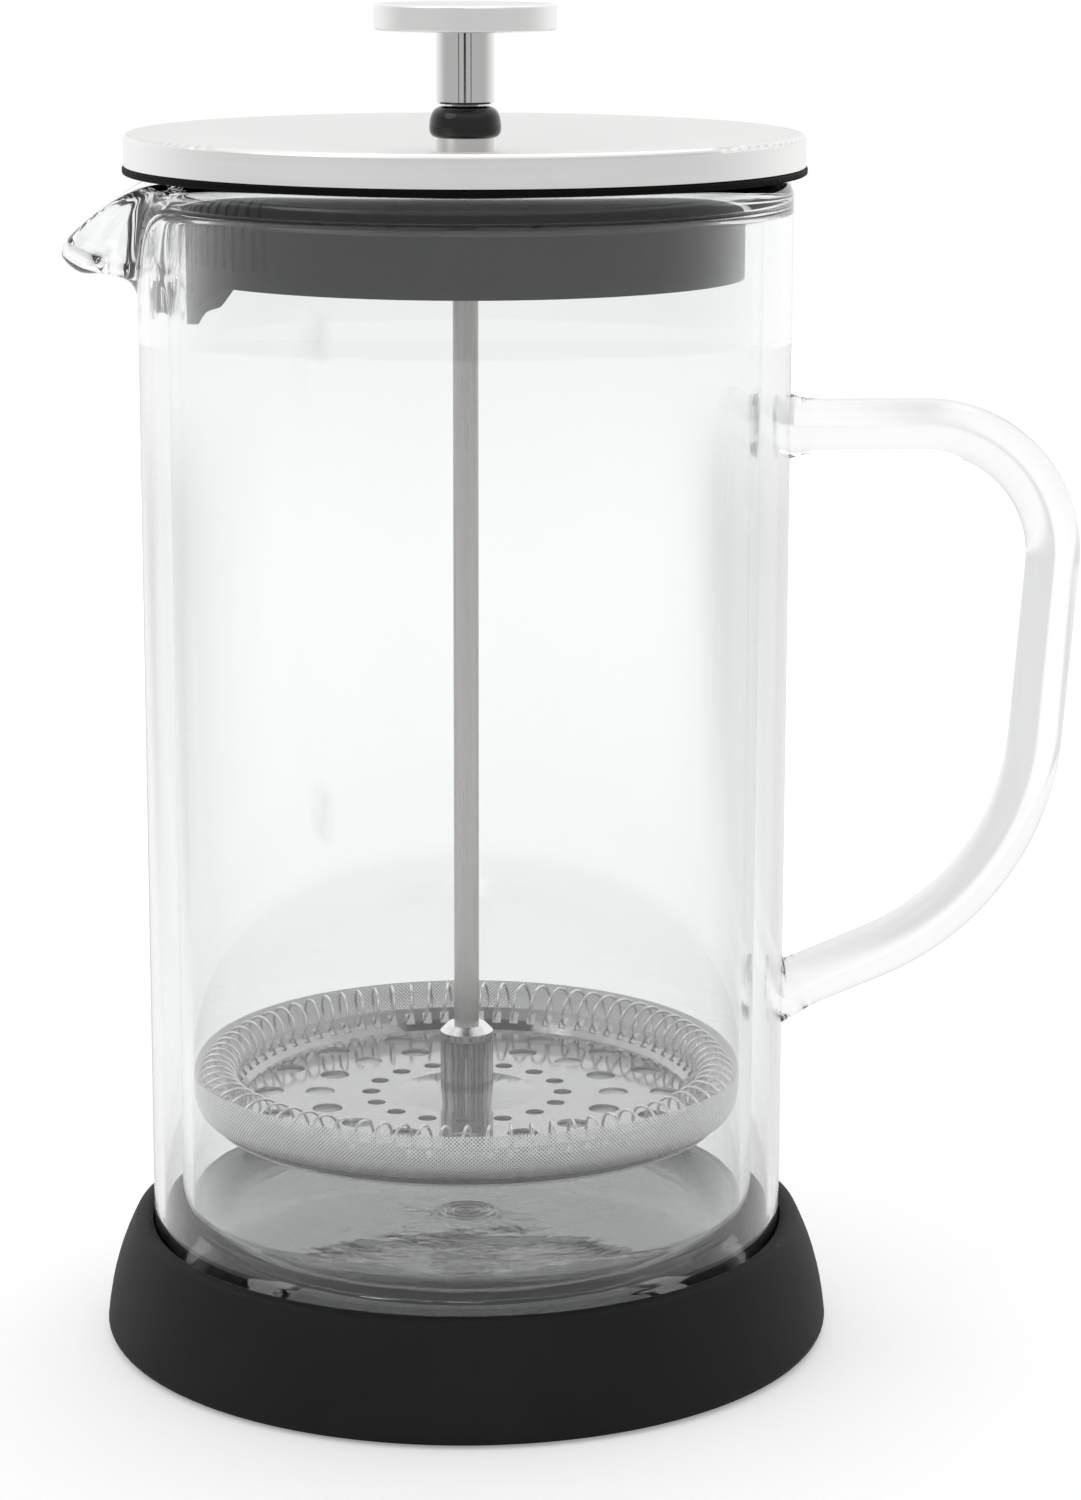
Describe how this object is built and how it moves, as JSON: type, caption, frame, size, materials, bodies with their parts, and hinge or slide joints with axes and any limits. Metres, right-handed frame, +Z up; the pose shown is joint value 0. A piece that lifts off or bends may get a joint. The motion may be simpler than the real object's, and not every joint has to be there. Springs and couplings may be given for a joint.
{
  "type": "french press",
  "caption": "Coffee press with a double-wall glass vessel, fused glass handle and pulled spout, a dished steel lid with a strainer skirt, and a sliding mesh filter plunger.",
  "frame": {"origin": "on the vessel's axis, on the surface that the base stands on", "axes": "+Z up along the vessel's axis, +X towards the handle, -X towards the spout"},
  "size_m": [0.179, 0.1314, 0.2377],
  "materials": {
    "glass": "clear fire-polished borosilicate",
    "base_black": "matte, fine moulded grain",
    "gasket_rubber": "smooth silicone",
    "satin_steel": "satin brushed",
    "polished_steel": "mirror polished",
    "rod_steel": "drawn along its length",
    "spring_steel": "bright drawn wire",
    "mesh_steel": "fine woven wire",
    "liner_black": "satin moulded",
    "bead_black": "glossy moulded"
  },
  "bodies": {
    "carafe": {"base_cup": "base_black", "glass_vessel": "glass", "glass_handle": "glass", "seal_tip": "glass"},
    "seal": {"lid_gasket": "gasket_rubber"},
    "lid": {"lid_cap": "satin_steel", "lid_liner": "liner_black", "guide_collar": "polished_steel", "guide_bead": "bead_black", "lid_washer": "satin_steel", "lid_nut": "satin_steel"},
    "plunger": {"knob_disc": "satin_steel", "knob_neck": "polished_steel", "plunger_rod": "rod_steel", "hub_nut": "polished_steel", "spiral_plate": "polished_steel", "coil_spring": "spring_steel", "mesh_screen": "mesh_steel", "cross_plate": "polished_steel", "cross_boss": "satin_steel"}
  },
  "joints": [
    {"name": "lid_lift", "type": "slide", "parent": "carafe", "child": "seal", "axis": [0, 0, 1], "range_m": [0, 0.2]},
    {"name": "lid_turn", "type": "hinge", "parent": "seal", "child": "lid", "pos_m": [0, 0, 0.2104], "axis": [0, 0, 1], "continuous": true},
    {"name": "plunge", "type": "slide", "parent": "lid", "child": "plunger", "axis": [0, 0, 1], "range_m": [0, 0.131]}
  ]
}
